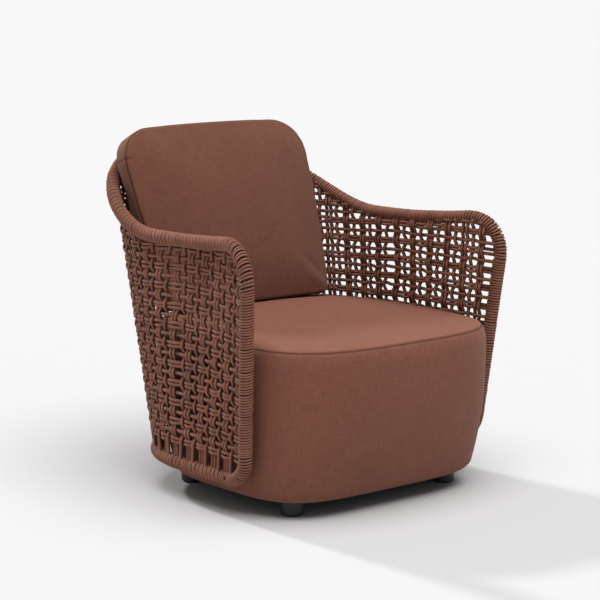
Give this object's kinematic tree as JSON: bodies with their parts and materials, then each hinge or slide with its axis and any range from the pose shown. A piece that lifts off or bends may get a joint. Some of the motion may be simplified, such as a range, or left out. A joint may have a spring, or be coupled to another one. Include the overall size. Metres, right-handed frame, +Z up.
{
  "type": "tub armchair",
  "caption": "Low tub armchair with a corded tube rim and open woven cord arms and back around an upholstered drum seat with a loose back cushion.",
  "frame": {"origin": "on the floor under the middle of the chair", "axes": "+Z up, -Y towards the sitter's front, +X towards the sitter's left hand side as the sitter faces -Y"},
  "size_m": [0.7618, 0.8278, 0.7932],
  "materials": {
    "wrap_cord": "braided cord, matt",
    "weave_cord": "braided cord, matt",
    "seat_fabric": "plain weave, matt",
    "cushion_fabric": "plain weave, matt",
    "foam": "foam",
    "tube": "powder coated",
    "plywood": "raw plywood",
    "webbing": "elastic webbing",
    "dust_cloth": "non-woven cloth",
    "foot_plastic": "satin black",
    "glide": "matt",
    "fixings": "zinc plated",
    "zip": "coil zip"
  },
  "bodies": {
    "chair": {"rim_tube": "tube", "lower_rail_tube": "tube", "rail_spigots": "fixings", "left_upright_wrap": "wrap_cord", "left_arm_wrap": "wrap_cord", "back_rim_wrap": "wrap_cord", "right_arm_wrap": "wrap_cord", "right_upright_wrap": "wrap_cord", "lower_rail_wrap": "wrap_cord", "left_weave": "weave_cord", "back_weave": "weave_cord", "right_weave": "weave_cord", "base_board": "plywood", "side_hoop": "plywood", "top_frame": "plywood", "cross_rail": "plywood", "cross_webbing": "webbing", "long_webbing": "webbing", "seat_foam": "foam", "side_padding": "foam", "side_cover": "seat_fabric", "seat_cover": "seat_fabric", "bottom_cloth": "dust_cloth", "shell_spacers": "fixings", "shell_bolts": "fixings", "front_left_foot": "foot_plastic", "front_right_foot": "foot_plastic", "rear_left_foot": "foot_plastic", "rear_right_foot": "foot_plastic", "foot_bolts": "fixings", "foot_nuts": "fixings", "foot_glides": "glide"},
    "back_cushion": {"cushion_core": "foam", "cushion_front_panel": "cushion_fabric", "cushion_gusset": "cushion_fabric", "cushion_back_panel": "cushion_fabric", "cushion_zip": "zip"}
  },
  "joints": [
    {"name": "cushion_lift", "type": "slide", "parent": "chair", "child": "back_cushion", "axis": [0, 0, 1], "range_m": [0, 0.45]}
  ]
}
